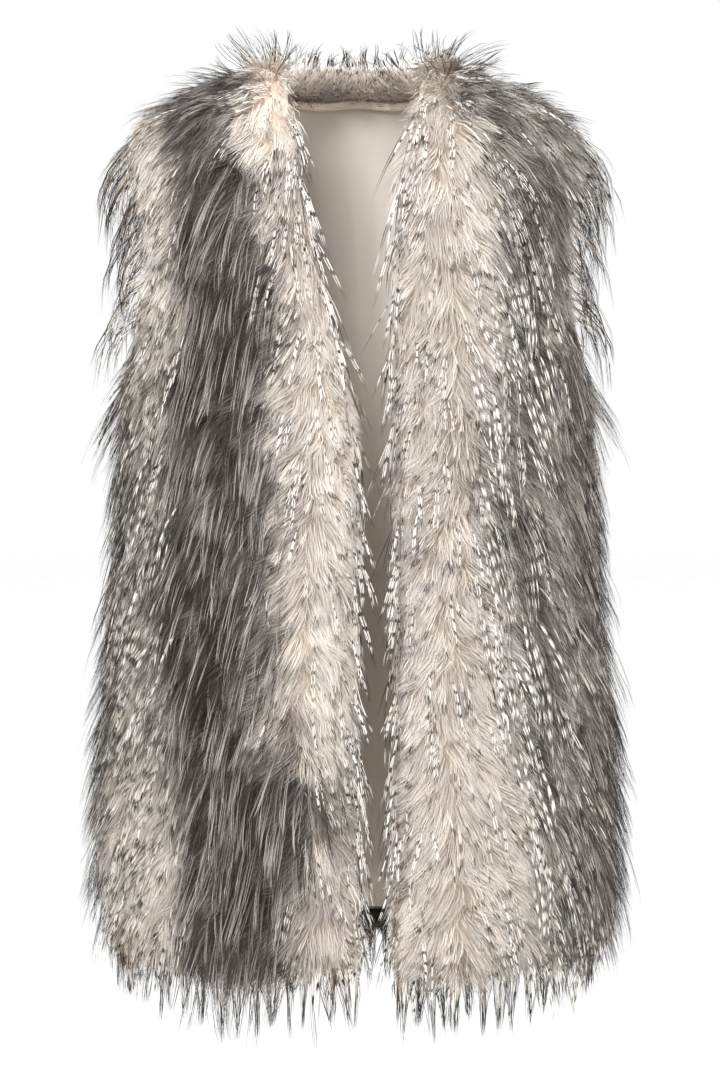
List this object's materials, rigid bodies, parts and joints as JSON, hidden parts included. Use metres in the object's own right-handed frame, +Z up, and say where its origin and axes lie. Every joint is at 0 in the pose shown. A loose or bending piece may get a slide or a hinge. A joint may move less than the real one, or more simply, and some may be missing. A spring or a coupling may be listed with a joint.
{
  "type": "fur vest",
  "caption": "Sleeveless collarless hip-length vest of long-pile fur with barred guard hairs, pointed locks along its edges, a satin lining and an open front, filled out as if worn.",
  "frame": {"origin": "midway between the shoulders, at the height of the wearer's shoulders under the cloth", "axes": "+Z up, +Y towards the wearer's back, +X towards the wearer's left"},
  "size_m": [0.4389, 0.3162, 0.7916],
  "materials": {
    "cream_fur": "long soft pile, cream with dark bars",
    "grey_fur": "long soft pile, grey-brown with pale and dark hairs",
    "dark_fur": "short dark brown pile",
    "lining_satin": "champagne satin weave",
    "binding_cloth": "cream plain weave"
  },
  "bodies": {
    "root": {"front_right": "grey_fur", "front_left": "cream_fur", "back": "grey_fur", "neck_facing": "grey_fur", "hem_facing": "dark_fur", "lining_back": "lining_satin", "neck_binding": "binding_cloth", "hem_locks_right": "grey_fur", "hem_locks_left": "cream_fur", "hem_locks_back": "grey_fur", "edge_locks_right": "grey_fur", "edge_locks_left": "cream_fur", "armhole_locks_front_right": "grey_fur", "armhole_locks_front_left": "cream_fur", "armhole_locks_back_right": "grey_fur", "armhole_locks_back_left": "grey_fur", "neck_locks": "grey_fur"}
  },
  "joints": []
}
